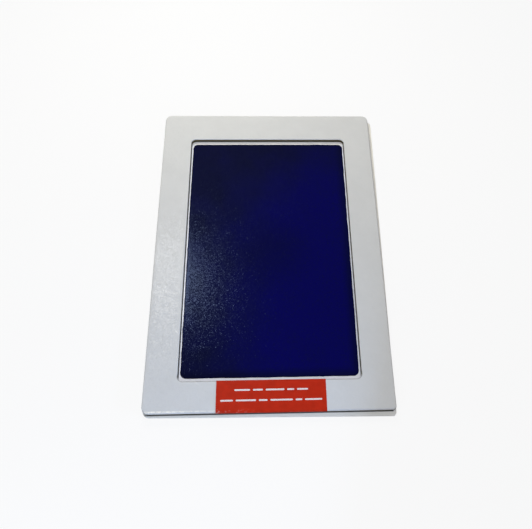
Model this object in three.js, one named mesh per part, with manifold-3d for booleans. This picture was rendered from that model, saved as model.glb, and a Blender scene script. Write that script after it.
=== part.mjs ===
// Clean-touch ink print pad: an inked film held between two die-cut card frames.
// Millimetres, +Z up. The pad lies flat with its ink side up and the red label on the rail towards -Y.
// The origin is on the surface that the pad lies on, under the middle of the whole pad.
import * as THREE from "three";
import { mergeVertices } from "three/addons/utils/BufferGeometryUtils.js";
import Module from "manifold-3d";

// Outline of both frames, cut with one die
const frameWidth = 104.5;
const frameLength = 155;
const frameCornerRadius = 3;
const leftRail = 13.8;
const rightRail = 13.4;
const nearRail = 13.4;
const farRail = 15.6;
const windowCornerRadius = 2;

// Ink-side frame: a raw board with a coated face paper that the die presses over both rims
const boardThickness = 1.7;
const paperThickness = 0.3;
const paperGlue = 0.03;
const rimRoll = 0.7;

// Press-side frame: one white card, laid face down and glued on a little crooked
const cardThickness = 1.2;
const cardRimRoll = 0.35;
const cardTurn = THREE.MathUtils.degToRad(-0.64);
const cardShiftX = 0.95;
const cardShiftY = -1.49;

// Film and the ink on it
const filmThickness = 0.15;
const filmLap = 6; // runs this far behind each rail
const filmCornerRadius = 2;
const inkThickness = 0.12;
const inkSideMargin = 0.8;
const inkEndMargin = 1.7;
const inkCornerRadius = 2.8;

// Double-sided tape: one ring on the film, one thicker ring between the frames
const tapeThickness = 0.15;
const tapeSetbackFromWindow = 1;
const tapeSetbackFromFilmEdge = 1;
const tapeSetbackFromFrameEdge = 2.4;
const tapeCornerGap = 0.5;

// Red label, folded over both rims of the near rail
const labelWidth = 45.6;
const labelShift = 0.6;
const labelThickness = 0.1;
const labelGlue = 0.03;

// How finely round stretches are cut into facets
const cornerSegments = 4;
const rollSegments = 5;

// Heights of the stack, from the press side up
const filmBottom = cardThickness;
const filmTop = filmBottom + filmThickness;
const boardBottom = filmTop + tapeThickness;
const boardTop = boardBottom + boardThickness;
const faceTop = boardTop + paperThickness;

// The window's size, and its centre as seen from the centre of the frame
const windowWidth = frameWidth - leftRail - rightRail;
const windowLength = frameLength - nearRail - farRail;
const windowCentre = { x: (leftRail - rightRail) / 2, y: (nearRail - farRail) / 2 };

const wasm = await Module();
wasm.setup();

const materials = {
  facePaper: new THREE.MeshStandardMaterial({ color: 0xd6d6d4, roughness: 0.45, metalness: 0 }),
  boardCore: new THREE.MeshStandardMaterial({ color: 0x615945, roughness: 0.95, metalness: 0 }),
  whiteCard: new THREE.MeshStandardMaterial({ color: 0xf1f0e9, roughness: 0.6, metalness: 0 }),
  film: new THREE.MeshStandardMaterial({ color: 0xd9d9de, roughness: 0.4, metalness: 0 }),
  ink: new THREE.MeshStandardMaterial({ color: 0x0a0550, roughness: 0.35, metalness: 0 }),
  tape: new THREE.MeshStandardMaterial({ color: 0xcfc9b4, roughness: 0.7, metalness: 0 }),
  redLabel: new THREE.MeshStandardMaterial({ color: 0xbf280f, roughness: 0.5, metalness: 0 }),
};

// A closed geometry as a solid that can be joined and cut.
function toSolid(geometry) {
  const bare = geometry.clone();
  bare.deleteAttribute("normal");
  bare.deleteAttribute("uv");
  const merged = mergeVertices(bare);
  return new wasm.Manifold(
    new wasm.Mesh({
      numProp: 3,
      vertProperties: merged.attributes.position.array,
      triVerts: new Uint32Array(merged.index.array),
    }),
  );
}

function toGeometry(solid) {
  const mesh = solid.getMesh();
  const geometry = new THREE.BufferGeometry();
  geometry.setAttribute("position", new THREE.BufferAttribute(mesh.vertProperties, 3));
  geometry.setIndex(new THREE.BufferAttribute(mesh.triVerts, 1));
  return geometry;
}

function piece(name, geometry, material) {
  const mesh = new THREE.Mesh(geometry, material);
  mesh.name = name;
  return mesh;
}

// A rectangle with round corners, added to a path.
function roundedRectangle(width, length, radius, centre = { x: 0, y: 0 }, path = new THREE.Shape()) {
  const right = centre.x + width / 2 - radius;
  const left = centre.x - width / 2 + radius;
  const far = centre.y + length / 2 - radius;
  const near = centre.y - length / 2 + radius;
  path.absarc(right, far, radius, 0, Math.PI / 2);
  path.absarc(left, far, radius, Math.PI / 2, Math.PI);
  path.absarc(left, near, radius, Math.PI, 1.5 * Math.PI);
  path.absarc(right, near, radius, 1.5 * Math.PI, 2 * Math.PI);
  return path;
}

// The frame's outline with its window. A positive inset takes that much off both rims of every rail.
function frameShape(inset) {
  const shape = roundedRectangle(
    frameWidth - 2 * inset,
    frameLength - 2 * inset,
    frameCornerRadius - inset,
  );
  const opening = roundedRectangle(
    windowWidth + 2 * inset,
    windowLength + 2 * inset,
    windowCornerRadius + inset,
    windowCentre,
    new THREE.Path(),
  );
  shape.holes.push(opening);
  return shape;
}

// A flat piece with straight walls, from z = 0 up.
function slab(shape, thickness) {
  return new THREE.ExtrudeGeometry(shape, {
    depth: thickness,
    bevelEnabled: false,
    curveSegments: cornerSegments,
  });
}

// Everything below the plane z = height, wide enough to trim any piece of the pad.
function spaceBelow(height) {
  const depth = faceTop + frameWidth;
  const block = new THREE.BoxGeometry(2 * frameWidth, 2 * frameLength, depth);
  return toSolid(block.translate(0, 0, height - depth / 2));
}

// A frame from z = 0 to z = thickness, its upper rims rolled over at the outline and round the window.
function rolledFrame(inset, roll, thickness) {
  const bothSidesRolled = new THREE.ExtrudeGeometry(frameShape(inset), {
    depth: thickness - roll,
    bevelThickness: roll,
    bevelSize: roll,
    bevelOffset: -roll,
    bevelSegments: rollSegments,
    curveSegments: cornerSegments,
  });
  return toSolid(bothSidesRolled).subtract(spaceBelow(0));
}

// The board has raw walls up to where the paper's rolled rim ends, then a smaller roll inside that rim.
function inkSideBoard() {
  const walls = toSolid(slab(frameShape(0), boardThickness + paperThickness - rimRoll));
  const rolledTop = rolledFrame(paperThickness, rimRoll - paperThickness, boardThickness);
  return toGeometry(walls.add(rolledTop));
}

// The face paper covers the top of the board and curls down over both rims.
function inkSideFacePaper() {
  const glued = paperThickness - paperGlue;
  const wrapped = rolledFrame(0, rimRoll, boardThickness + paperThickness);
  const underneath = rolledFrame(glued, rimRoll - glued, boardThickness + paperGlue);
  const rimEnd = boardThickness + paperThickness - rimRoll + paperGlue;
  return toGeometry(wrapped.subtract(underneath).subtract(spaceBelow(rimEnd)));
}

// The label's section follows the near rail from the foot of one rolled rim to the foot of the other.
function redLabel() {
  const inner = rimRoll + labelGlue;
  const outer = inner + labelThickness;
  const nearRoll = -frameLength / 2 + rimRoll;
  const windowRoll = -frameLength / 2 + nearRail - rimRoll;
  const section = new THREE.Shape();
  section.absarc(windowRoll, 0, outer, 0, Math.PI / 2);
  section.absarc(nearRoll, 0, outer, Math.PI / 2, Math.PI);
  section.absarc(nearRoll, 0, inner, Math.PI, Math.PI / 2, true);
  section.absarc(windowRoll, 0, inner, Math.PI / 2, 0, true);
  const strip = slab(section, labelWidth).translate(0, 0, -labelWidth / 2);
  return strip.rotateX(Math.PI / 2).rotateZ(Math.PI / 2);
}

function carrierFilm() {
  return slab(
    roundedRectangle(windowWidth + 2 * filmLap, windowLength + 2 * filmLap, filmCornerRadius),
    filmThickness,
  );
}

function inkLayer() {
  return slab(
    roundedRectangle(windowWidth - 2 * inkSideMargin, windowLength - 2 * inkEndMargin, inkCornerRadius),
    inkThickness,
  );
}

// Four strips of tape that fill the band between an inner and an outer rectangle.
// Each rectangle is given by its left, right, near and far edges.
// The side strips run the whole length and the end strips fit between them.
function tapeRing(prefix, inner, outer, thickness) {
  const strips = {
    left: { left: outer.left, right: inner.left, near: outer.near, far: outer.far },
    right: { left: inner.right, right: outer.right, near: outer.near, far: outer.far },
    near: {
      left: inner.left + tapeCornerGap,
      right: inner.right - tapeCornerGap,
      near: outer.near,
      far: inner.near,
    },
    far: {
      left: inner.left + tapeCornerGap,
      right: inner.right - tapeCornerGap,
      near: inner.far,
      far: outer.far,
    },
  };
  return Object.entries(strips).map(([side, edge]) => {
    const strip = new THREE.BoxGeometry(edge.right - edge.left, edge.far - edge.near, thickness);
    const mesh = piece(`${prefix}_${side}`, strip, materials.tape);
    mesh.position.set((edge.left + edge.right) / 2, (edge.near + edge.far) / 2, thickness / 2);
    return mesh;
  });
}

// The edges of a rectangle that lies a given distance outside the window, or inside it if negative.
function roundWindow(distance) {
  return {
    left: windowCentre.x - windowWidth / 2 - distance,
    right: windowCentre.x + windowWidth / 2 + distance,
    near: windowCentre.y - windowLength / 2 - distance,
    far: windowCentre.y + windowLength / 2 + distance,
  };
}

// The edges of a rectangle that lies a given distance inside the frame's outline.
function insideOutline(distance) {
  return {
    left: -frameWidth / 2 + distance,
    right: frameWidth / 2 - distance,
    near: -frameLength / 2 + distance,
    far: frameLength / 2 - distance,
  };
}

const pad = new THREE.Group();

const board = piece("ink_side_board", inkSideBoard(), materials.boardCore);
board.position.z = boardBottom;
pad.add(board);

const facePaper = piece("ink_side_face_paper", inkSideFacePaper(), materials.facePaper);
facePaper.position.z = boardBottom;
pad.add(facePaper);

const label = piece("red_label", redLabel(), materials.redLabel);
label.position.set(labelShift, 0, faceTop - rimRoll);
pad.add(label);

const film = piece("carrier_film", carrierFilm(), materials.film);
film.position.set(windowCentre.x, windowCentre.y, filmBottom);
pad.add(film);

const ink = piece("ink_layer", inkLayer(), materials.ink);
ink.position.set(windowCentre.x, windowCentre.y, filmTop);
pad.add(ink);

const filmTape = new THREE.Group();
filmTape.position.z = filmTop;
filmTape.add(
  ...tapeRing(
    "film_tape",
    roundWindow(tapeSetbackFromWindow),
    roundWindow(filmLap - tapeSetbackFromFilmEdge),
    tapeThickness,
  ),
);
pad.add(filmTape);

const frameTape = new THREE.Group();
frameTape.position.z = filmBottom;
frameTape.add(
  ...tapeRing(
    "frame_tape",
    roundWindow(filmLap + tapeSetbackFromFilmEdge),
    insideOutline(tapeSetbackFromFrameEdge),
    filmThickness + tapeThickness,
  ),
);
pad.add(frameTape);

// The card is turned over, so its rolled rims face the surface that the pad lies on.
const crookedCard = new THREE.Group();
crookedCard.rotation.z = cardTurn;
crookedCard.position.set(cardShiftX, cardShiftY, cardThickness);
const rolledCard = toGeometry(rolledFrame(0, cardRimRoll, cardThickness));
const card = piece("press_side_frame", rolledCard, materials.whiteCard);
card.rotation.y = Math.PI;
crookedCard.add(card);
pad.add(crookedCard);

// The origin goes under the middle of the whole pad.
const extent = new THREE.Box3().setFromObject(pad, true);
const middle = extent.getCenter(new THREE.Vector3());
pad.position.set(-middle.x, -middle.y, -extent.min.z);

export default pad;
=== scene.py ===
"""Ink print pad: two card frames, an inked film between them and a red label on the near rail."""

import math

import bmesh
import bpy
from bpy.props import FloatProperty, FloatVectorProperty, PointerProperty
from mathutils import Matrix, Quaternion, Vector, noise
from mathutils.geometry import delaunay_2d_cdt


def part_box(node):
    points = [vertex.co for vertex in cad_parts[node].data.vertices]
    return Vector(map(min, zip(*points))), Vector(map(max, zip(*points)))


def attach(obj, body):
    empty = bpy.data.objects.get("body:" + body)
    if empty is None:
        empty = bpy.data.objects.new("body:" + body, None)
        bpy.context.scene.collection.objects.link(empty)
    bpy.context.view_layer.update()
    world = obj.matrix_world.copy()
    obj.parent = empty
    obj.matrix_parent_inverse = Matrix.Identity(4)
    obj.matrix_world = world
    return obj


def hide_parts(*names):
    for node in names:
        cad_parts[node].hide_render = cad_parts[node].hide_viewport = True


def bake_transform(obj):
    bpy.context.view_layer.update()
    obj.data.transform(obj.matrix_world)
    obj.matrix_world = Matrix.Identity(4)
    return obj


bl_info = {
    "name": "Ink Print Pad",
    "version": (1, 0, 0),
    "blender": (4, 5, 0),
    "location": "View3D > Sidebar > Print Pad",
    "description": "Builds the card frames, inked film and label of a flat ink print pad",
    "category": "Add Mesh",
}

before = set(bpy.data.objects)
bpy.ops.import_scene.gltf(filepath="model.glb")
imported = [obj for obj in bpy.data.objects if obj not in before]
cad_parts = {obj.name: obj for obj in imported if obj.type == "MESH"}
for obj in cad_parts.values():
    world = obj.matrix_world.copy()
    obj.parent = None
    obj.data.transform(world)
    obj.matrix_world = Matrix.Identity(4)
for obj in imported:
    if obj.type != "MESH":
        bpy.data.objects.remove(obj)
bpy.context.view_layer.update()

MM = 0.001
BOARD_LOW, BOARD_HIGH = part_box("ink_side_board")
_, PAPER_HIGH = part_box("ink_side_face_paper")
CARD_LOW, CARD_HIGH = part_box("press_side_frame")
FILM_LOW, FILM_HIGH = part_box("carrier_film")
INK_LOW, INK_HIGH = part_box("ink_layer")
LABEL_LOW, LABEL_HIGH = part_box("red_label")
FRAME_SIZE = BOARD_HIGH - BOARD_LOW
FRAME_CENTRE = (BOARD_LOW + BOARD_HIGH) / 2
CARD_CENTRE = (CARD_LOW + CARD_HIGH) / 2

# How finely the frames are cut: steps round a corner, along an end or a side, over a roll, across a rail
CORNER_STEPS = 8
END_STEPS = 72
SIDE_STEPS = 108
ROLL_STEPS = 6
RAIL_STEPS = 9
# An edge sharper than this stays sharp when the mesh is smoothed
SHARP_ANGLE = math.radians(50)

# Slow waves: their lengths across and along the pad, and their seed
FILM_WAVE = (24 * MM, 31 * MM, 4.2)
PAPER_BROAD_WAVE = (9 * MM, 13 * MM, 1.7)
PAPER_SHORT_WAVE = (3.4 * MM, 4.6 * MM, 7.3)
INK_EDGE_WAVE = (5 * MM, 5 * MM, 2.5)
INK_FRAY_WAVE = (1.3 * MM, 1.3 * MM, 8.1)
INK_GRAIN_WAVE = (1.9 * MM, 1.9 * MM, 5.9)

# Width over which the film's waves die out at the window's rim
FILM_FADE = 10 * MM
# How far the paper's waves lie below its crown, in ripple heights
RIPPLE_DROP = 1.3
# How many times longer than high the torn fibres of a cut wall are
FIBRE_SQUEEZE = 3

# Colours of wear, of painted shade, highlights and light, of the ink's glints, and of what shows on the
# film
PAINTED_RIM_HIGHLIGHT = (1.0, 0.96, 0.86)
TORN_FIBRE = (0.3, 0.27, 0.2)
GAP_SHADE = (0.06, 0.06, 0.06)
FILM_PAINTED_LIGHT = (1.0, 0.97, 0.93)
INK_THROUGH_FILM = (0.05, 0.05, 0.25)
SEAM_SHADE = (0.05, 0.045, 0.04)
INK_GLINT = (0.44, 0.6, 1.0)
RUBBED_AND_HIGHLIT_RED = (0.66, 0.5, 0.46)
FADED_RED = (0.52, 0.12, 0.08)


def length(name, description, default_mm):
    """A length property, given in millimetres."""
    return FloatProperty(
        name=name,
        description=description,
        default=default_mm * MM,
        min=0.0,
        precision=5,
        unit="LENGTH",
    )


def colour(name, description, default):
    """A colour property, as linear red, green and blue."""
    return FloatVectorProperty(
        name=name,
        description=description,
        default=default,
        min=0.0,
        max=1.0,
        size=3,
        subtype="COLOR",
    )


class PrintPadSizes(bpy.types.PropertyGroup):
    """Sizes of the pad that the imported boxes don't give."""

    left_rail: length("Left rail", "Width of the left rail", 13.8)
    right_rail: length("Right rail", "Width of the right rail", 13.4)
    near_rail: length("Near rail", "Width of the rail that carries the label", 13.4)
    far_rail: length("Far rail", "Width of the rail opposite the label", 15.6)
    frame_radius: length("Frame corner", "Corner radius of both frames", 3.0)
    tight_radius: length("Tight corner", "Corner radius of both frames at the near right", 1.5)
    window_radius: length("Window corner", "Corner radius of both windows", 2.4)
    rim_roll: length("Rim roll", "Radius of the face paper's rolled outer rim", 0.6)
    rim_skirt: length("Rim skirt", "How far the paper reaches down below its outer roll", 0.2)
    window_roll: length("Window roll", "Radius of the face paper's tighter roll round the window", 0.36)
    paper_thickness: length("Paper", "Thickness of the face paper", 0.27)
    paper_seat: length("Paper seat", "Depth of the board's step under the paper's rim", 0.3)
    paper_ripple: length("Paper ripple", "Height of the slow waves in the face paper", 0.014)
    wall_roughness: length("Wall roughness", "Depth of the torn fibres in the board's cut walls", 0.07)
    card_roll: length("Card roll", "Radius of the press-side card's rolled rims", 0.35)
    card_turn: FloatProperty(
        name="Card turn",
        description="How far the press-side card lies turned under the ink-side frame",
        default=math.radians(-0.64),
        subtype="ANGLE",
    )
    film_radius: length("Film corner", "Corner radius of the film", 2.0)
    film_wave: length("Film wave", "Height of the slow waves in the film", 0.03)
    ink_radius: length("Ink corner", "Corner radius of the ink", 2.5)
    ink_ragged: length("Ink edge", "How far the ink's edge wanders", 0.22)
    ink_taper: length("Ink taper", "Width over which the ink thins out to its edge", 0.7)
    press_reach: length("Press reach", "Width of the film's slope when it is pressed", 12.0)
    label_glue: length("Label glue", "Thickness of the glue under the label", 0.03)
    label_thickness: length("Label", "Thickness of the label", 0.1)
    dash_height: length("Dash height", "Height of the label's printed dashes", 0.7)


class PrintPadColours(bpy.types.PropertyGroup):
    """Colours of the pad's materials and of the floor."""

    face_paper: colour("Face paper", "Coated white paper of the ink side", (0.67, 0.67, 0.66))
    board_core: colour("Board core", "Raw grey-brown board", (0.14, 0.108, 0.045))
    white_card: colour("White card", "Card of the press side", (0.895, 0.868, 0.79))
    film: colour("Film", "Milky carrier film", (0.8, 0.82, 0.9))
    ink_blue: colour("Ink, thick", "Deep blue where the ink lies thick", (0.0009, 0.0, 0.075))
    ink_navy: colour("Ink, thin", "Near-black navy where the ink lies thin", (0.0016, 0.0018, 0.022))
    red_label: colour("Red label", "Printed red of the label", (0.5, 0.0235, 0.007))
    label_print: colour("Label print", "White of the label's dashes", (0.8, 0.74, 0.72))
    tape: colour("Tape", "Double-sided tape", (0.62, 0.58, 0.46))
    floor: colour("Floor", "Pale studio floor", (0.9, 0.9, 0.9))


def sizes():
    return bpy.context.scene.print_pad_sizes


def colours():
    return bpy.context.scene.print_pad_colours


# Outlines and rings


def outline_points(low, high, radii, end_steps=END_STEPS, side_steps=SIDE_STEPS):
    """(point, outward normal) round a rectangle with round corners, anticlockwise from its right side.

    The radii are those of the far right, far left, near left and near right corners.
    """
    left, right, near, far = low[0], high[0], low[1], high[1]
    towards = ((right, far, -1, -1), (left, far, 1, -1), (left, near, 1, 1), (right, near, -1, 1))
    centres = [Vector((x + a * r, y + b * r)) for (x, y, a, b), r in zip(towards, radii)]
    points = []
    for turn, (centre, radius) in enumerate(zip(centres, radii)):
        for step in range(CORNER_STEPS + 1):
            angle = (turn + step / CORNER_STEPS) * math.pi / 2
            out = Vector((math.cos(angle), math.sin(angle)))
            points.append((centre + radius * out, out))
        here, out = points[-1]
        after = (turn + 1) % 4
        there = centres[after] + radii[after] * out
        steps = side_steps if turn % 2 else end_steps
        for step in range(1, steps):
            points.append((here.lerp(there, step / steps), out))
    return points


def window_corners(centre, face_down=False):
    """The lowest and highest corner of the window of a frame that lies straight round this centre.

    A frame that lies face down has its left and right rails swapped.
    """
    size = sizes()
    left, right = size.left_rail, size.right_rail
    if face_down:
        left, right = right, left
    half = FRAME_SIZE / 2
    low = (centre[0] - half.x + left, centre[1] - half.y + size.near_rail)
    high = (centre[0] + half.x - right, centre[1] + half.y - size.far_rail)
    return low, high


def frame_outlines(centre, face_down=False):
    """The outline and the window of a frame that lies straight round this centre."""
    half = FRAME_SIZE / 2
    outer = outline_points(
        (centre[0] - half.x, centre[1] - half.y),
        (centre[0] + half.x, centre[1] + half.y),
        (sizes().frame_radius,) * 3 + (sizes().tight_radius,),
    )
    window = outline_points(*window_corners(centre, face_down), (sizes().window_radius,) * 4)
    return outer, window


def steps_between(start, end, count):
    """The values from the start to the end, in this many even steps."""
    return [start + (end - start) * k / count for k in range(count + 1)]


def quarter_roll(radius, set_in, centre_z):
    """(inset from the rim, height) up a roll, from its foot to its crown."""
    return [
        (set_in + radius * (1 - math.cos(t)), centre_z + radius * math.sin(t))
        for t in steps_between(0.0, math.pi / 2, ROLL_STEPS)
    ]


def rolled_rim(radius, skirt, inset):
    """(inset from the rim, height, mark) up the rim of the face paper, or of a layer inset below it.

    The mark falls from 1 at the foot to 0 at the crown.
    """
    middle = PAPER_HIGH.z - radius
    points = [(inset, middle - skirt, 1.0)] if skirt else []
    for k, (a, z) in enumerate(quarter_roll(radius - inset, inset, middle)):
        points.append((a, z, 1.0 - k / ROLL_STEPS))
    return points


def ring(name, outlines, section, shift):
    """A closed ring: the section reaches from the outline to the window, all the way round.

    A section point is (share across the rail, inset from its rim, height, mark). The mark is kept with the
    mesh, for its material. shift(point, height, mark) gives what to add to a point's inset and height.
    """
    outer, window = outlines
    verts, marks = [], []
    for (rim, out), (edge, inward) in zip(outer, window):
        for share, inset, height, mark in section:
            spot = (rim - out * inset).lerp(edge + inward * inset, share)
            deeper, higher = shift(spot, height, mark)
            inset += deeper
            spot = (rim - out * inset).lerp(edge + inward * inset, share)
            verts.append((spot.x, spot.y, height + higher))
            marks.append(mark)
    around = len(outer)
    neighbours = [(i, (i + 1) % around) for i in range(around)]
    return solid_object(name, verts, skin(neighbours, len(section)), marks)


def skin(neighbours, across):
    """The faces between the loops of each pair of neighbours, with this many points in a loop."""
    faces = []
    for this, after in neighbours:
        for j in range(across):
            k = (j + 1) % across
            faces.append((this * across + j, after * across + j, after * across + k, this * across + k))
    return faces


def solid_object(name, verts, faces, marks=None):
    """A new object from a closed mesh, with its faces turned out and its sharp edges kept."""
    mesh = bpy.data.meshes.new(name)
    mesh.from_pydata(verts, [], faces)
    work = bmesh.new()
    work.from_mesh(mesh)
    bmesh.ops.recalc_face_normals(work, faces=work.faces)
    work.to_mesh(mesh)
    work.free()
    mesh.shade_smooth()
    mesh.set_sharp_from_angle(angle=SHARP_ANGLE)
    if marks:
        kept = mesh.attributes.new("mark", "FLOAT", "POINT")
        kept.data.foreach_set("value", marks)
    return linked_object(name, mesh)


def linked_object(name, mesh):
    piece = bpy.data.objects.new(name, mesh)
    bpy.context.scene.collection.objects.link(piece)
    return piece


# Sheets and waves


def clamped(share):
    return min(max(share, 0.0), 1.0)


def depth_inside(spot, low, high, radius):
    """How far a point lies inside a rectangle with round corners."""
    x = abs(spot[0] - (low[0] + high[0]) / 2) - (high[0] - low[0]) / 2 + radius
    y = abs(spot[1] - (low[1] + high[1]) / 2) - (high[1] - low[1]) / 2 + radius
    outside = math.hypot(max(x, 0), max(y, 0))
    return radius - outside - min(max(x, y), 0)


def sheet(name, rim, inside, spacing, top, bottom):
    """A thin closed sheet over the rim's points and a grid inside it, between two heights at each spot."""
    xs = [p.x for p in rim]
    ys = [p.y for p in rim]
    columns = round((max(xs) - min(xs)) / spacing)
    rows = round((max(ys) - min(ys)) / spacing)
    clear_of_rim = 0.6 * spacing
    spots = [p / MM for p in rim]
    for x in steps_between(min(xs), max(xs), columns):
        for y in steps_between(min(ys), max(ys), rows):
            if inside((x, y)) > clear_of_rim:
                spots.append(Vector((x, y)) / MM)
    loop = [(k, (k + 1) % len(rim)) for k in range(len(rim))]
    inside_only, same_spot = 1, 1e-5
    found, _, triangles, came_from, _, _ = delaunay_2d_cdt(spots, loop, [], inside_only, same_spot)
    place = {first: k for k, origins in enumerate(came_from) for first in origins}
    flat = [p * MM for p in found]
    verts = [(p.x, p.y, top(p)) for p in flat] + [(p.x, p.y, bottom(p)) for p in flat]
    under = len(flat)
    faces = [tuple(t) for t in triangles]
    faces += [tuple(under + k for k in reversed(t)) for t in triangles]
    faces += [(place[a], place[b], under + place[b], under + place[a]) for a, b in loop]
    return solid_object(name, verts, faces)


def slow_wave(spot, wave):
    """A smooth bump between about -1 and 1."""
    across, along, seed = wave
    return noise.noise(Vector((spot[0] / across, spot[1] / along, seed)))


def film_lift(spot):
    """The film's slow waves, which die out towards the window's rim."""
    low, high = window_corners(FRAME_CENTRE)
    depth = depth_inside(spot, low, high, sizes().window_radius)
    return sizes().film_wave * clamped(depth / FILM_FADE) * slow_wave(spot, FILM_WAVE)


def paper_lift(spot):
    """The slow waves of the glued face paper, which lie just below its crown."""
    wave = 0.7 * slow_wave(spot, PAPER_BROAD_WAVE) + 0.3 * slow_wave(spot, PAPER_SHORT_WAVE)
    return sizes().paper_ripple * (wave - RIPPLE_DROP)


def torn_fibres(spot, height, size):
    """How deep a cut wall is torn at a spot, from 0 to 1, with fibres of about this size."""
    rough = noise.noise(Vector((spot.x, spot.y, height * FIBRE_SQUEEZE)) / size)
    return 0.5 + 0.5 * rough


def press_with_film(piece):
    """Bakes the piece's place into its mesh and finds how deep each point lies in the window, which is not
    used further.
    """
    low, high = window_corners(FRAME_CENTRE)
    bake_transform(piece)
    for vertex in piece.data.vertices:
        depth = depth_inside(vertex.co, low, high, sizes().window_radius)


# Materials


class Finish:
    """A material that is built up node by node, as a rule on the Principled shader."""

    # Where nearly all of the noise lies, and where most of it lies
    WIDE = (0.3, 0.7)
    NARROW = (0.35, 0.65)

    def __init__(self, name):
        self.material = bpy.data.materials.new(name)
        self.material.use_nodes = True
        self.tree = self.material.node_tree
        self.shader = self.tree.nodes["Principled BSDF"]
        self.spot = self.add("ShaderNodeTexCoord").outputs["Object"]
        self.normal = None

    def add(self, kind, inputs=None, **settings):
        node = self.tree.nodes.new(kind)
        for key, value in settings.items():
            setattr(node, key, value)
        for key, value in (inputs or {}).items():
            self.feed(node.inputs[key], value)
        return node

    def feed(self, socket, value):
        if isinstance(value, bpy.types.NodeSocket):
            self.tree.links.new(value, socket)
        else:
            socket.default_value = value

    def set(self, **values):
        """Sets the shader's own sockets, with underscores for the spaces in their names."""
        for key, value in values.items():
            self.feed(self.shader.inputs[key.replace("_", " ")], value)

    def math(self, operation, a, b=0.0, c=0.0):
        return self.add("ShaderNodeMath", {0: a, 1: b, 2: c}, operation=operation).outputs[0]

    def joined(self, operation, *values):
        """All the values under this operation, one after the other."""
        total = values[0]
        for value in values[1:]:
            total = self.math(operation, total, value)
        return total

    def vector(self, operation, a, b=(0.0, 0.0, 0.0)):
        return self.add("ShaderNodeVectorMath", {0: a, 1: b}, operation=operation).outputs[0]

    def mix(self, share, a, b):
        """Colour a where the share is 0, and colour b where it is 1."""
        node = self.add("ShaderNodeMix", {0: share}, data_type="RGBA")
        for socket, value in ((node.inputs[6], a), (node.inputs[7], b)):
            self.feed(socket, value)
        return node.outputs[2]

    def axis(self, name):
        return self.add("ShaderNodeSeparateXYZ", {0: self.spot}).outputs[name]

    def mark(self):
        """The mesh's mark, 1 at the foot of a rim or on a cut wall."""
        return self.add("ShaderNodeAttribute", attribute_name="mark").outputs["Fac"]

    def spread(self, value, low, high, to_low=0.0, to_high=1.0, smooth=False):
        """Takes low to to_low and high to to_high, and stays between those two."""
        inputs = {0: value, 1: low, 2: high, 3: to_low, 4: to_high}
        kind = "SMOOTHSTEP" if smooth else "LINEAR"
        return self.add("ShaderNodeMapRange", inputs, interpolation_type=kind).outputs[0]

    def ramp(self, value, start, end, most=1.0):
        """Rises smoothly from 0 at the start to the most at the end, which may lie on either side of it."""
        return self.spread(value, start, end, 0.0, most, smooth=True)

    def grain(self, size_mm, detail, stretch=None):
        """Cloudy noise with features of about this size, from 0 to 1."""
        where = self.spot
        if stretch:
            where = self.add("ShaderNodeMapping", {"Vector": where, "Scale": stretch}).outputs[0]
        inputs = {"Vector": where, "Scale": 1 / (size_mm * MM), "Detail": detail}
        return self.add("ShaderNodeTexNoise", inputs).outputs[0]

    def cloud(self, grain, least, most):
        """A number that drifts with the grain."""
        return self.spread(grain, *self.WIDE, least, most)

    def mottle(self, grain, dark, light):
        """A colour that drifts with the grain."""
        return self.mix(self.spread(grain, *self.NARROW), dark, light)

    def beyond_window(self):
        """How far a spot lies outside the ink-side window."""
        low, high = (Vector((*corner, 0.0)) for corner in window_corners(FRAME_CENTRE))
        radius = sizes().window_radius
        straight = (high - low) / 2 - Vector((radius, radius, 0.0))
        level = self.vector("MULTIPLY", self.spot, (1.0, 1.0, 0.0))
        away = self.vector("ABSOLUTE", self.vector("SUBTRACT", level, (low + high) / 2))
        past = self.vector("MAXIMUM", self.vector("SUBTRACT", away, straight))
        reach = self.add("ShaderNodeVectorMath", {0: past}, operation="LENGTH").outputs["Value"]
        return self.math("SUBTRACT", reach, radius)

    def facets(self, size_mm, slope, steeper):
        """Turns small cells of the surface, each its own way: by up to this slope, and a few steeper."""
        inputs = {"Vector": self.spot, "Scale": 1 / (size_mm * MM)}
        chance = self.add("ShaderNodeTexVoronoi", inputs, voronoi_dimensions="2D").outputs["Color"]
        centred = self.vector("SUBTRACT", chance, (0.5, 0.5, 0.5))
        turn = self.vector("MULTIPLY", centred, (2 * slope, 2 * slope, 0.0))
        third = self.add("ShaderNodeSeparateXYZ", {0: chance}).outputs["Z"]
        boost = self.math("MULTIPLY_ADD", self.math("POWER", third, 4.0), steeper - 1.0, 1.0)
        turn = self.add("ShaderNodeVectorMath", {0: turn, "Scale": boost}, operation="SCALE").outputs[0]
        flat = self.add("ShaderNodeTexCoord").outputs["Normal"]
        self.normal = self.vector("NORMALIZE", self.vector("ADD", flat, turn))
        self.set(Normal=self.normal)

    def relief(self, height, depth_mm):
        """Adds a bump of this depth over what has turned the surface before."""
        inputs = {"Strength": 1.0, "Distance": depth_mm * MM, "Height": height}
        if self.normal:
            inputs["Normal"] = self.normal
        self.normal = self.add("ShaderNodeBump", inputs).outputs[0]
        self.set(Normal=self.normal)


def shade(rgb, factor=1.0):
    """The colour, lighter or darker, as red, green, blue and alpha."""
    return (*(min(1.0, c * factor) for c in rgb), 1.0)


def painted_rim_highlight(paper):
    """The share of painted highlight in broken specks along the near rim, which die out from its left end.
    """
    along = paper.axis("Y")
    left = paper.spread(paper.axis("X"), BOARD_LOW.x + 10 * MM, BOARD_LOW.x + 38 * MM, 1.0, 0.0)
    rise = paper.ramp(along, BOARD_LOW.y + 0.2 * MM, BOARD_LOW.y + 0.5 * MM)
    fall = paper.ramp(along, BOARD_LOW.y + 1.3 * MM, BOARD_LOW.y + 0.8 * MM)
    broken = paper.spread(paper.grain(1.3, 2.0), 0.36, 0.55, 0.25, 1.0)
    return paper.joined("MULTIPLY", left, rise, fall, broken)


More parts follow.
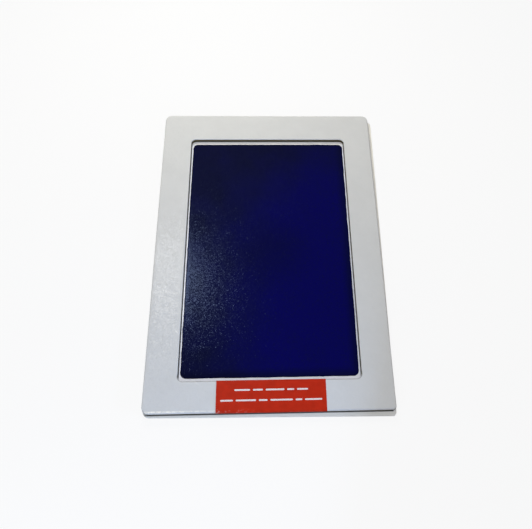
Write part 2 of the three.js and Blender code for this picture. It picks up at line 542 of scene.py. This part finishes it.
def painted_crease_shade(paper):
    """The share of painted shade in the crease along the near rim of the window."""
    low, _ = window_corners(FRAME_CENTRE)
    at_near = paper.ramp(paper.axis("Y"), low[1] + 4.0 * MM, low[1] + 1.5 * MM)
    crease_shade = paper.ramp(paper.beyond_window(), 0.6 * MM, 0.15 * MM, 0.5)
    return paper.math("MULTIPLY", crease_shade, at_near)


def paper_finish():
    """Satin coated paper: mottled, specked and rippled, with fine glints, soiled rims, a painted highlight
    on the near rim and painted shade round the window's near rim.
    """
    rgb = colours().face_paper
    soiled = (rgb[0], rgb[1] * 0.985, rgb[2] * 0.94)
    paper = Finish("coated_face_paper")
    base = paper.mottle(paper.grain(8.0, 3.0), shade(rgb, 0.985), shade(rgb, 1.015))
    specks = paper.spread(paper.grain(0.45, 4.0), 0.66, 0.78, 0.0, 0.06)
    base = paper.mix(specks, base, shade(rgb, 0.7))
    worn = paper.spread(paper.grain(2.2, 2.0), 0.4, 0.75, 0.05, 0.2)
    base = paper.mix(paper.math("MULTIPLY", paper.mark(), worn), base, shade(soiled, 0.85))
    # Painted highlight: pale broken specks along the crown of the near rim
    base = paper.mix(painted_rim_highlight(paper), base, shade(PAINTED_RIM_HIGHLIGHT))
    # Painted shade in the crease along the window's near rim
    base = paper.mix(painted_crease_shade(paper), base, shade(rgb, 0.25))
    satin = paper.cloud(paper.grain(3.5, 3.0), 0.17, 0.22)
    burnished = paper.ramp(paper.mark(), 0.02, 0.3, 0.05)
    roughness = paper.math("SUBTRACT", satin, burnished)
    paper.set(Base_Color=base, Roughness=roughness, Specular_IOR_Level=0.06)
    paper.facets(size_mm=0.6, slope=0.04, steeper=2.5)
    paper.relief(paper.grain(2.8, 1.0), depth_mm=0.1)
    paper.relief(paper.grain(0.35, 3.0), depth_mm=0.008)
    return paper.material


def board_finish():
    """Raw board: grey-brown plies and torn fibres on the cut walls, with painted shade and grime darkest at
    their foot.
    """
    rgb = colours().board_core
    board = Finish("raw_board_core")
    plies = board.grain(1.0, 2.0, stretch=(0.12, 0.12, 5.0))
    base = board.mottle(plies, shade(rgb, 0.72), shade(rgb, 1.25))
    fibres = board.spread(board.grain(0.3, 4.0), 0.6, 0.75, 0.0, 0.5)
    base = board.mix(fibres, base, shade(TORN_FIBRE))
    # Painted shade, with grime, darkens the cut walls towards their foot
    foot_shade_and_grime = board.ramp(board.axis("Z"), BOARD_LOW.z + 1.0 * MM, BOARD_LOW.z, 0.95)
    base = board.mix(foot_shade_and_grime, base, shade(rgb, 0.12))
    board.set(Base_Color=base, Roughness=0.93, Specular_IOR_Level=0.2)
    board.relief(plies, depth_mm=0.05)
    board.relief(board.grain(0.25, 4.0), depth_mm=0.03)
    return board.material


def gap_shadow(card):
    """The share of shade in the gap under the ink-side frame's near edge, up to its right corner."""
    along = card.axis("Y")
    rise = card.ramp(along, BOARD_LOW.y - 0.4 * MM, BOARD_LOW.y - 0.15 * MM, 0.92)
    fall = card.ramp(along, BOARD_LOW.y + 0.3 * MM, BOARD_LOW.y + 0.1 * MM)
    end = card.ramp(card.axis("X"), BOARD_HIGH.x - 0.7 * MM, BOARD_HIGH.x - 1.4 * MM)
    return card.joined("MULTIPLY", rise, fall, end)


def card_finish():
    """White card: a soft matte face, greyer fibrous cut walls and a shadow line in the near gap."""
    rgb = colours().white_card
    card = Finish("white_card")
    base = card.mottle(card.grain(6.0, 3.0), shade(rgb, 0.98), shade(rgb, 1.02))
    streaks = card.grain(0.9, 3.0, stretch=(0.2, 0.2, 4.0))
    wall = card.mottle(streaks, shade(rgb, 0.84), shade(rgb, 0.98))
    base = card.mix(card.mark(), base, wall)
    base = card.mix(gap_shadow(card), base, shade(GAP_SHADE))
    roughness = card.cloud(card.grain(3.0, 3.0), 0.52, 0.64)
    card.set(Base_Color=base, Roughness=roughness, Specular_IOR_Level=0.2)
    card.relief(streaks, depth_mm=0.02)
    card.relief(card.grain(0.3, 3.0), depth_mm=0.006)
    return card.material


def behind_ink(film):
    """1 where the ink lies on the film, and 0 from just inside the ink's edge outwards."""
    shares = []
    for name, low, high in (("X", INK_LOW.x, INK_HIGH.x), ("Y", INK_LOW.y, INK_HIGH.y)):
        along = film.axis(name)
        shares.append(film.ramp(along, low + 0.6 * MM, low + 1.6 * MM))
        shares.append(film.ramp(along, high - 0.6 * MM, high - 1.6 * MM))
    return film.joined("MULTIPLY", *shares)


def painted_seam_shade(film):
    """The share of painted shade in the seam where the film meets the window's left and right walls."""
    low, high = window_corners(FRAME_CENTRE)
    across = film.axis("X")
    at_left = film.ramp(across, low[0] + 0.45 * MM, low[0] + 0.2 * MM)
    at_right = film.ramp(across, high[0] - 0.45 * MM, high[0] - 0.2 * MM)
    uneven = film.cloud(film.grain(1.5, 2.0), 0.75, 1.0)
    return film.math("MULTIPLY", film.math("MAXIMUM", at_left, at_right), uneven)


def film_finish():
    """Milky film: painted lighter at its far margin, with painted shade in its side seams, muted blue
    behind the ink.
    """
    rgb = colours().film
    film = Finish("milky_film")
    base = film.mottle(film.grain(5.0, 2.0), shade(rgb, 0.97), shade(rgb, 1.03))
    # Painted light: a whiter, warmer far margin beside the far wall, which shades it
    at_far = film.ramp(film.axis("Y"), INK_HIGH.y - 0.4 * MM, INK_HIGH.y + 0.2 * MM)
    base = film.mix(at_far, base, shade(FILM_PAINTED_LIGHT))
    patchy = film.cloud(film.grain(9.0, 4.0), 0.8, 0.95)
    base = film.mix(film.math("MULTIPLY", behind_ink(film), patchy), base, shade(INK_THROUGH_FILM))
    # Painted shade in the seams beside the window's left and right walls
    base = film.mix(painted_seam_shade(film), base, shade(SEAM_SHADE))
    roughness = film.cloud(film.grain(4.0, 3.0), 0.25, 0.36)
    film.set(Base_Color=base, Roughness=roughness, Specular_IOR_Level=0.5)
    film.relief(film.grain(0.6, 2.0), depth_mm=0.003)
    return film.material


def ink_depth(ink):
    """0 where the ink lies thin, at the left and far sides, and 1 where it lies thick, with soft clouds."""
    width = INK_HIGH.x - INK_LOW.x
    across = ink.ramp(ink.axis("X"), INK_LOW.x, INK_LOW.x + 0.6 * width)
    slant = ink.spread(ink.axis("X"), INK_LOW.x, INK_HIGH.x, 0.0, 0.35)
    along = ink.math("ADD", ink.spread(ink.axis("Y"), INK_HIGH.y, INK_LOW.y), slant)
    thick = ink.math("MULTIPLY", across, ink.ramp(along, 0.15, 0.6))
    cloud = ink.cloud(ink.grain(14.0, 3.0), -0.16, 0.16)
    return ink.add("ShaderNodeMath", {0: thick, 1: cloud}, operation="ADD", use_clamp=True).outputs[0]


def edge_shade_and_thin_ink(ink):
    """The share by which the ink is darker: painted shade along its right, near and far edges, and thinner
    ink in its middle.
    """
    at_right = ink.ramp(ink.axis("X"), INK_HIGH.x - 5 * MM, INK_HIGH.x, 0.6)
    at_near = ink.ramp(ink.axis("Y"), INK_LOW.y + 5 * MM, INK_LOW.y, 0.7)
    at_far = ink.ramp(ink.axis("Y"), INK_HIGH.y - 4 * MM, INK_HIGH.y, 0.3)
    inputs = {0: ink.spot, 1: (INK_LOW + INK_HIGH) / 2}
    from_middle = ink.add("ShaderNodeVectorMath", inputs, operation="DISTANCE").outputs["Value"]
    in_middle = ink.ramp(from_middle, 26 * MM, 3 * MM, 0.4)
    return ink.joined("MAXIMUM", at_right, at_near, at_far, in_middle)


def ink_finish():
    """Deep blue ink: satin and stippled with fine glints, bluest where it lies thick, to the near right."""
    navy = colours().ink_navy
    ink = Finish("deep_blue_ink")
    base = ink.mix(ink_depth(ink), shade(navy), shade(colours().ink_blue))
    # Painted shade along the ink's right, near and far edges, beside the window's walls, and thinner ink in
    # its middle
    base = ink.mix(edge_shade_and_thin_ink(ink), base, shade(navy, 0.5))
    stipple = ink.spread(ink.grain(0.9, 1.0), 0.55, 0.72, 0.0, 0.35)
    base = ink.mix(stipple, base, shade(navy, 1.4))
    roughness = ink.cloud(ink.grain(1.3, 3.0), 0.17, 0.19)
    ink.set(Base_Color=base, Roughness=roughness)
    ink.set(Specular_IOR_Level=0.057, Specular_Tint=shade(INK_GLINT))
    ink.facets(size_mm=0.34, slope=0.025, steeper=3.4)
    return ink.material


def rubbed_and_highlit_specks(label):
    """The share of pale specks at the label's near left corner: partly rubbed wear, partly painted
    highlight on its rim.
    """
    left = label.spread(label.axis("X"), LABEL_LOW.x, LABEL_LOW.x + 17 * MM, 1.0, 0.0)
    near = label.spread(label.axis("Y"), LABEL_LOW.y + 0.5 * MM, LABEL_LOW.y + 1.6 * MM, 1.0, 0.0)
    specks = label.spread(label.grain(0.8, 2.0), 0.54, 0.66, 0.0, 0.45)
    return label.joined("MULTIPLY", left, near, specks)


def label_finish():
    """Printed red: a little uneven, with pale specks of wear and painted highlight at the near left, and
    faded along the rims.
    """
    rgb = colours().red_label
    label = Finish("printed_red_label")
    base = label.mottle(label.grain(3.5, 4.0), shade(rgb, 0.93), shade(rgb, 1.07))
    # Pale specks: partly rubbed print, partly painted highlight where the paper's painted rim highlight
    # runs on
    base = label.mix(rubbed_and_highlit_specks(label), base, shade(RUBBED_AND_HIGHLIT_RED))
    patches = label.spread(label.grain(1.1, 3.0), 0.45, 0.7, 0.0, 0.25)
    base = label.mix(label.math("MULTIPLY", label.mark(), patches), base, shade(FADED_RED))
    roughness = label.cloud(label.grain(2.5, 3.0), 0.3, 0.38)
    label.set(Base_Color=base, Roughness=roughness, Specular_IOR_Level=0.06)
    label.relief(label.grain(1.6, 2.0), depth_mm=0.012)
    label.relief(label.grain(0.3, 3.0), depth_mm=0.004)
    return label.material


def dash_finish():
    """Thin white print with pinholes of red."""
    dash = Finish("white_label_print")
    holes = dash.spread(dash.grain(0.35, 3.0), 0.56, 0.66, 0.0, 0.45)
    base = dash.mix(holes, shade(colours().label_print), shade(colours().red_label, 1.3))
    dash.set(Base_Color=base, Roughness=0.45, Specular_IOR_Level=0.35)
    dash.relief(dash.grain(0.3, 3.0), depth_mm=0.003)
    return dash.material


def tape_finish():
    """Cloudy double-sided tape with fine fibres."""
    rgb = colours().tape
    tape = Finish("cloudy_tape")
    strands = tape.grain(0.8, 4.0, stretch=(1.0, 0.25, 1.0))
    base = tape.mottle(strands, shade(rgb, 0.86), shade(rgb, 1.08))
    tape.set(Base_Color=base, Roughness=0.6, Specular_IOR_Level=0.4)
    tape.relief(strands, depth_mm=0.02)
    return tape.material


def dress(piece, material):
    """Gives a piece its only material."""
    piece.data.materials.clear()
    piece.data.materials.append(material)


# Operators


class PADS_OT_face_paper(bpy.types.Operator):
    """White face paper of the ink-side frame, rolled down over the outline and round the window"""

    bl_idname = "pads.face_paper"
    bl_label = "Face Paper"

    def execute(self, context):
        size = sizes()
        outer = (size.rim_roll, size.rim_skirt)
        window = (size.window_roll, 0.0)
        rail = steps_between(0.0, 1.0, RAIL_STEPS)[1:-1]
        section = [(0.0, *point) for point in rolled_rim(*outer, 0.0)]
        section += [(share, size.rim_roll, PAPER_HIGH.z, 0.0) for share in rail]
        section += [(1.0, *point) for point in reversed(rolled_rim(*window, 0.0))]
        section += [(1.0, a, z, 1.0) for a, z, _ in rolled_rim(*window, size.paper_thickness)]
        section += [(0.0, a, z, 1.0) for a, z, _ in reversed(rolled_rim(*outer, size.paper_thickness))]

        def ripple(spot, height, mark):
            return 0.0, (1.0 - mark) * paper_lift(spot)

        piece = ring("face_paper", frame_outlines(FRAME_CENTRE), section, ripple)
        dress(piece, paper_finish())
        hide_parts("ink_side_face_paper")
        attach(piece, "frame")
        return {"FINISHED"}


class PADS_OT_board_core(bpy.types.Operator):
    """Raw board of the ink-side frame, with fibrous cut walls and a step that seats the paper's rims"""

    bl_idname = "pads.board_core"
    bl_label = "Board Core"

    SOFT = 0.05 * MM
    WALL_STEPS = 5
    FIBRE_SIZE = 0.9 * MM

    def wall(self, radius, skirt):
        """(inset, height, mark) up a cut wall, in under the paper's rim and up to the top of the board."""
        bottom = BOARD_LOW.z
        step = PAPER_HIGH.z - radius - skirt
        heights = steps_between(bottom + self.SOFT, step - self.SOFT, self.WALL_STEPS)
        points = [(self.SOFT, bottom, 0.0)]
        points += [(0.0, z, 1.0) for z in heights]
        points += [(self.SOFT, step, 0.0)]
        return points + [(a, z, 0.0) for a, z, _ in rolled_rim(radius, skirt, sizes().paper_seat)]

    def execute(self, context):
        size = sizes()
        section = [(0.0, *point) for point in self.wall(size.rim_roll, size.rim_skirt)]
        section += [(1.0, *point) for point in reversed(self.wall(size.window_roll, 0.0))]

        def torn(spot, height, mark):
            return mark * size.wall_roughness * torn_fibres(spot, height, self.FIBRE_SIZE), 0.0

        piece = ring("board_core", frame_outlines(FRAME_CENTRE), section, torn)
        dress(piece, board_finish())
        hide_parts("ink_side_board")
        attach(piece, "frame")
        return {"FINISHED"}


class PADS_OT_press_card(bpy.types.Operator):
    """White card of the press side, laid face down and a little crooked under the film"""

    bl_idname = "pads.press_card"
    bl_label = "Press Card"

    # Keeps the turned card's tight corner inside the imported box
    TRIM = 0.02 * MM
    SOFT = 0.04 * MM
    WALL_STEPS = 4
    FIBRE_SIZE = 1.1 * MM
    FIBRE_DEPTH = 0.03 * MM
    # Marks of the cut walls, and of the rolls and edges beside them
    WALL = 1.0
    EDGE = 0.3

    def rim(self):
        """(inset, height, mark) up a rim, from its roll underneath to its cut edge on top."""
        bottom, top = CARD_LOW.z, CARD_HIGH.z
        radius = sizes().card_roll
        roll = quarter_roll(radius, self.TRIM, 0.0)
        heights = steps_between(bottom + radius, top - self.SOFT, self.WALL_STEPS)[1:]
        points = [(a, bottom + radius - z, self.EDGE) for a, z in reversed(roll)]
        points += [(self.TRIM, z, self.WALL) for z in heights]
        return points + [(self.TRIM + self.SOFT, top, self.EDGE)]

    def execute(self, context):
        size = sizes()
        rim = self.rim()
        rail = steps_between(0.0, 1.0, RAIL_STEPS)[1:-1]
        section = [(share, size.card_roll, CARD_LOW.z, 0.0) for share in reversed(rail)]
        section += [(0.0, *point) for point in rim]
        section += [(share, self.SOFT, CARD_HIGH.z, 0.0) for share in rail]
        section += [(1.0, *point) for point in reversed(rim)]

        def fibrous(spot, height, mark):
            depth = self.FIBRE_DEPTH if mark == self.WALL else 0.0
            return depth * torn_fibres(spot, height, self.FIBRE_SIZE), 0.0

        piece = ring("press_card", frame_outlines((0.0, 0.0), face_down=True), section, fibrous)
        turn = Matrix.Rotation(size.card_turn, 4, "Z")
        place = Matrix.Translation((CARD_CENTRE.x, CARD_CENTRE.y, 0.0))
        piece.data.transform(place @ turn)
        dress(piece, card_finish())
        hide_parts("press_side_frame")
        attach(piece, "frame")
        return {"FINISHED"}


class PADS_OT_film(bpy.types.Operator):
    """Milky film between the frames, which carries the ink"""

    bl_idname = "pads.film"
    bl_label = "Carrier Film"

    SPACING = 2.0 * MM

    def execute(self, context):
        rim = [p for p, _ in outline_points(FILM_LOW, FILM_HIGH, (sizes().film_radius,) * 4)]
        piece = sheet(
            "film_sheet",
            rim,
            lambda spot: depth_inside(spot, FILM_LOW, FILM_HIGH, sizes().film_radius),
            self.SPACING,
            lambda spot: FILM_HIGH.z + film_lift(spot),
            lambda spot: FILM_LOW.z + film_lift(spot),
        )
        dress(piece, film_finish())
        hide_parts("carrier_film")
        press_with_film(piece)
        return {"FINISHED"}


class PADS_OT_ink(bpy.types.Operator):
    """Blue ink on the film, with a slightly ragged edge that thins out"""

    bl_idname = "pads.ink"
    bl_label = "Ink"

    # The ragged edge takes more points than the film's
    EDGE_END_STEPS = 110
    EDGE_SIDE_STEPS = 180
    SPACING = 1.1 * MM
    # Share of the ink's full thickness that is left at its edge
    EDGE_COAT = 0.3
    GRAIN_HEIGHT = 0.004 * MM
    LIFT_OFF = 0.01 * MM

    def ragged_rim(self):
        size = sizes()
        steps = (self.EDGE_END_STEPS, self.EDGE_SIDE_STEPS)
        rim = []
        for point, out in outline_points(INK_LOW, INK_HIGH, (size.ink_radius,) * 4, *steps):
            wander = 0.6 * slow_wave(point, INK_EDGE_WAVE)
            wander += 0.4 * slow_wave(point, INK_FRAY_WAVE)
            rim.append(point - out * size.ink_ragged * wander)
        return rim

    def execute(self, context):
        size = sizes()
        thickness = INK_HIGH.z - INK_LOW.z

        def inside(spot):
            return depth_inside(spot, INK_LOW, INK_HIGH, size.ink_radius) - size.ink_ragged

        def top(spot):
            full = clamped((inside(spot) + size.ink_ragged) / size.ink_taper)
            coat = self.EDGE_COAT + (1 - self.EDGE_COAT) * full * (2 - full)
            grain = self.GRAIN_HEIGHT * full * slow_wave(spot, INK_GRAIN_WAVE)
            return INK_LOW.z + thickness * coat + film_lift(spot) + grain

        def bottom(spot):
            return INK_LOW.z + self.LIFT_OFF + film_lift(spot)

        piece = sheet("ink_sheet", self.ragged_rim(), inside, self.SPACING, top, bottom)
        dress(piece, ink_finish())
        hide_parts("ink_layer")
        press_with_film(piece)
        return {"FINISHED"}


class PADS_OT_label(bpy.types.Operator):
    """Red label folded over both rims of the near rail, with two rows of plain printed dashes"""

    bl_idname = "pads.label"
    bl_label = "Red Label"

    COLUMNS = 46
    FLAT_STEPS = 14
    # Lengths of the dashes in each row, in millimetres, and where the row's middle lies along the rail
    ROWS = (((6.5, 4.2, 7.8, 3.0, 4.6), 0.69), ((5.2, 8.4, 3.6, 9.3, 2.8, 7.1), 0.365))
    DASH_GAP = 1.1 * MM
    DASH_END_STEPS = 6
    PRINT_THICKNESS = 0.004 * MM
    PRINT_DEPTH = 0.02 * MM

    def profile(self, lift):
        """(along the pad, height, mark) over the rail at this height above the face paper."""
        size = sizes()
        low, _ = window_corners(FRAME_CENTRE)
        near, window = BOARD_LOW.y, low[1]
        points = [(near + a, z, mark) for a, z, mark in rolled_rim(size.rim_roll, size.rim_skirt, -lift)]
        flat = steps_between(near + size.rim_roll, window - size.window_roll, self.FLAT_STEPS)[1:-1]
        points += [(y, PAPER_HIGH.z + lift, 0.0) for y in flat]
        over_window = rolled_rim(size.window_roll, 0.0, -lift)
        return points + [(window - a, z, mark) for a, z, mark in reversed(over_window)]

    def strip(self):
        """The label itself, folded over the rail, with closed ends."""
        size = sizes()
        outer = self.profile(size.label_glue + size.label_thickness)
        inner = self.profile(size.label_glue)
        section = outer + inner[::-1]
        verts, marks = [], []
        for x in steps_between(LABEL_LOW.x, LABEL_HIGH.x, self.COLUMNS):
            for y, z, mark in section:
                verts.append((x, y, z + (1.0 - mark) * paper_lift((x, y))))
                marks.append(mark)
        across = len(section)
        faces = skin([(i, i + 1) for i in range(self.COLUMNS)], across)
        for start in (0, self.COLUMNS * across):
            for j in range(len(outer) - 1):
                opposite = across - 1 - j
                faces.append((start + j, start + j + 1, start + opposite - 1, start + opposite))
        return solid_object("red_label_strip", verts, faces, marks)

    def dash_outline(self, start, end, y):
        """Points round a dash with half-round ends, anticlockwise."""
        half = sizes().dash_height / 2
        points = []
        for centre, first in ((end - half, -90), (start + half, 90)):
            for step in range(self.DASH_END_STEPS + 1):
                angle = math.radians(first + 180 * step / self.DASH_END_STEPS)
                points.append((centre + half * math.cos(angle), y + half * math.sin(angle)))
        return points

    def print_dash(self, work, outline):
        """Adds one thin dash, which lies on the label and reaches down into it."""
        size = sizes()
        top = PAPER_HIGH.z + size.label_glue + size.label_thickness
        upper, lower = [], []
        for spot in outline:
            z = top + paper_lift(spot)
            upper.append(work.verts.new((*spot, z + self.PRINT_THICKNESS)))
            lower.append(work.verts.new((*spot, z - self.PRINT_DEPTH)))
        work.faces.new(upper)
        work.faces.new(lower[::-1])
        count = len(outline)
        for k in range(count):
            n = (k + 1) % count
            work.faces.new((lower[k], lower[n], upper[n], upper[k]))

    def dashes(self):
        """Two rows of dashes, each centred on the label."""
        low, _ = window_corners(FRAME_CENTRE)
        work = bmesh.new()
        for lengths, share in self.ROWS:
            y = BOARD_LOW.y + share * (low[1] - BOARD_LOW.y)
            total = sum(lengths) * MM + self.DASH_GAP * (len(lengths) - 1)
            start = (LABEL_LOW.x + LABEL_HIGH.x - total) / 2
            for dash in lengths:
                end = start + dash * MM
                self.print_dash(work, self.dash_outline(start, end, y))
                start = end + self.DASH_GAP
        mesh = bpy.data.meshes.new("label_dashes")
        work.to_mesh(mesh)
        work.free()
        return linked_object("label_dashes", mesh)

    def execute(self, context):
        strip = self.strip()
        dress(strip, label_finish())
        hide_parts("red_label")
        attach(strip, "frame")
        dashes = self.dashes()
        dress(dashes, dash_finish())
        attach(dashes, "frame")
        return {"FINISHED"}


class PADS_OT_tape(bpy.types.Operator):
    """Cloudy finish for the eight strips of tape that hold the film and the frames"""

    bl_idname = "pads.tape"
    bl_label = "Tape Strips"

    STRIPS = 8

    def execute(self, context):
        finish = tape_finish()
        strips = [node for name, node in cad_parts.items() if "_tape_" in name]
        if len(strips) != self.STRIPS:
            raise RuntimeError(f"expected {self.STRIPS} strips of tape, found {len(strips)}")
        for strip in strips:
            strip.data.materials.clear()
            strip.data.materials.append(finish)
        return {"FINISHED"}


class PADS_OT_stage(bpy.types.Operator):
    """Pale floor, soft studio light and the camera at the photograph's angle"""

    bl_idname = "pads.stage"
    bl_label = "Stage"

    # Places in millimetres from the middle of the ink-side frame, heights from the floor
    CAMERA_AT = (-0.07, -140.86, 256.40)
    CAMERA_AIM = (13.66, -9.99, 2.8)
    CAMERA_ROLL = math.radians(4.80)
    CAMERA_LENS = 42.10
    CAMERA_SENSOR = 36.0
    CAMERA_SHIFT = (-0.0611, 0.0011)
    CAMERA_NEAREST = 10 * MM
    # Each lamp: name, place, aim, width, power in watts, colour, and which light it gives
    LAMPS = (
        ("top_lamp", (0, -60, 700), (0, 0, 0), 300, 1.53, (0.92, 0.93, 1.0), "soft"),
        ("key_lamp", (-45, 200, 205), (0, 0, 0), 100, 0.38, (1.0, 0.98, 0.87), "soft"),
        ("sheen_lamp", (-122, 188, 418), (0, 0, 0), 60, 0.7, (1.0, 1.0, 1.0), "gloss"),
        ("near_lamp", (-95, -200, 90), (0, 0, 0), 60, 0.085, (0.5, 0.67, 1.0), "soft"),
        ("corner_lamp", (108, -115, 50), (45, -104, 143), 40, 0.42, (0.45, 0.64, 1.0), "soft"),
    )
    # Strength of the white world as light, while it shows as plain white
    WORLD_LIGHT = 0.2
    FLOOR_SIZE = 8.0
    FLOOR_DROP = 0.1 * MM
    # How white the floor glows, and the share of its glow against the light that falls on it
    FLOOR_WHITE = 0.985
    FLOOR_GLOW = 0.88

    def at(self, place):
        return Vector((FRAME_CENTRE.x, FRAME_CENTRE.y, 0.0)) + Vector(place) * MM

    def floor(self):
        """A pale floor that glows for the rays that show it, and keeps the pad's shadow."""
        bpy.ops.mesh.primitive_plane_add(size=self.FLOOR_SIZE, location=(0.0, 0.0, -self.FLOOR_DROP))
        floor = bpy.context.object
        floor.name = "floor"
        pale = Finish("pale_floor")
        pale.tree.nodes.remove(pale.shader)
        diffuse = pale.add("ShaderNodeBsdfDiffuse", {"Color": shade(colours().floor)}).outputs[0]
        glow = pale.add("ShaderNodeEmission", {"Strength": self.FLOOR_WHITE}).outputs[0]
        share = pale.math("MULTIPLY", self.seen_rays(pale.tree), self.FLOOR_GLOW)
        mix = pale.add("ShaderNodeMixShader", {0: share, 1: diffuse, 2: glow}).outputs[0]
        pale.feed(pale.tree.nodes["Material Output"].inputs["Surface"], mix)
        floor.data.materials.append(pale.material)

    def seen_rays(self, tree):
        """1 for rays that show the background: from the camera, off gloss and through glass."""
        path = tree.nodes.new("ShaderNodeLightPath")
        total = path.outputs["Is Camera Ray"]
        for name in ("Is Glossy Ray", "Is Transmission Ray"):
            either = tree.nodes.new("ShaderNodeMath")
            either.operation = "MAXIMUM"
            tree.links.new(total, either.inputs[0])
            tree.links.new(path.outputs[name], either.inputs[1])
            total = either.outputs[0]
        return total

    def sky(self):
        world = bpy.data.worlds.new("studio")
        bpy.context.scene.world = world
        world.use_nodes = True
        tree = world.node_tree
        background = tree.nodes["Background"]
        background.inputs["Color"].default_value = (1.0, 1.0, 1.0, 1.0)
        level = tree.nodes.new("ShaderNodeMapRange")
        tree.links.new(self.seen_rays(tree), level.inputs["Value"])
        level.inputs["To Min"].default_value = self.WORLD_LIGHT
        level.inputs["To Max"].default_value = 1.0
        tree.links.new(level.outputs[0], background.inputs["Strength"])

    def lamps(self):
        for name, place, aim, width, power, tint, gives in self.LAMPS:
            lamp = bpy.data.lights.new(name, "AREA")
            lamp.shape = "SQUARE"
            lamp.size = width * MM
            lamp.energy = power
            lamp.color = tint
            holder = bpy.data.objects.new(name, lamp)
            holder.location = self.at(place)
            holder.rotation_mode = "QUATERNION"
            holder.rotation_quaternion = (Vector(aim) - Vector(place)).to_track_quat("-Z", "Y")
            holder.visible_diffuse = gives != "gloss"
            holder.visible_glossy = gives != "soft"
            bpy.context.scene.collection.objects.link(holder)

    def camera(self):
        lens = bpy.data.cameras.new("camera")
        lens.lens = self.CAMERA_LENS
        lens.sensor_width = self.CAMERA_SENSOR
        lens.shift_x, lens.shift_y = self.CAMERA_SHIFT
        lens.clip_start = self.CAMERA_NEAREST
        holder = bpy.data.objects.new("camera", lens)
        place = self.at(self.CAMERA_AT)
        look = (self.at(self.CAMERA_AIM) - place).to_track_quat("-Z", "Y")
        holder.location = place
        holder.rotation_mode = "QUATERNION"
        holder.rotation_quaternion = look @ Quaternion((0.0, 0.0, 1.0), self.CAMERA_ROLL)
        bpy.context.scene.collection.objects.link(holder)
        bpy.context.scene.camera = holder

    def execute(self, context):
        context.scene.view_settings.view_transform = "Standard"
        self.floor()
        self.sky()
        self.lamps()
        self.camera()
        return {"FINISHED"}


PIECES = (
    PADS_OT_face_paper,
    PADS_OT_board_core,
    PADS_OT_press_card,
    PADS_OT_film,
    PADS_OT_ink,
    PADS_OT_label,
    PADS_OT_tape,
    PADS_OT_stage,
)


class PADS_PT_print_pad(bpy.types.Panel):
    """Lists the pad's pieces with their sizes and colours"""

    bl_idname = "PADS_PT_print_pad"
    bl_label = "Print Pad"
    bl_space_type = "VIEW_3D"
    bl_region_type = "UI"
    bl_category = "Print Pad"

    def draw(self, context):
        layout = self.layout
        for piece in PIECES:
            layout.operator(piece.bl_idname)
        for group in (context.scene.print_pad_sizes, context.scene.print_pad_colours):
            column = layout.column(align=True)
            for key in group.__annotations__:
                column.prop(group, key)


CLASSES = (PrintPadSizes, PrintPadColours, *PIECES, PADS_PT_print_pad)


def register():
    for cls in CLASSES:
        bpy.utils.register_class(cls)
    bpy.types.Scene.print_pad_sizes = PointerProperty(type=PrintPadSizes)
    bpy.types.Scene.print_pad_colours = PointerProperty(type=PrintPadColours)


def unregister():
    del bpy.types.Scene.print_pad_colours
    del bpy.types.Scene.print_pad_sizes
    for cls in reversed(CLASSES):
        bpy.utils.unregister_class(cls)


def main():
    register()
    bpy.ops.pads.face_paper()
    bpy.ops.pads.board_core()
    bpy.ops.pads.press_card()
    bpy.ops.pads.film()
    bpy.ops.pads.ink()
    bpy.ops.pads.label()
    bpy.ops.pads.tape()
    bpy.ops.pads.stage()


if __name__ == "__main__":
    main()
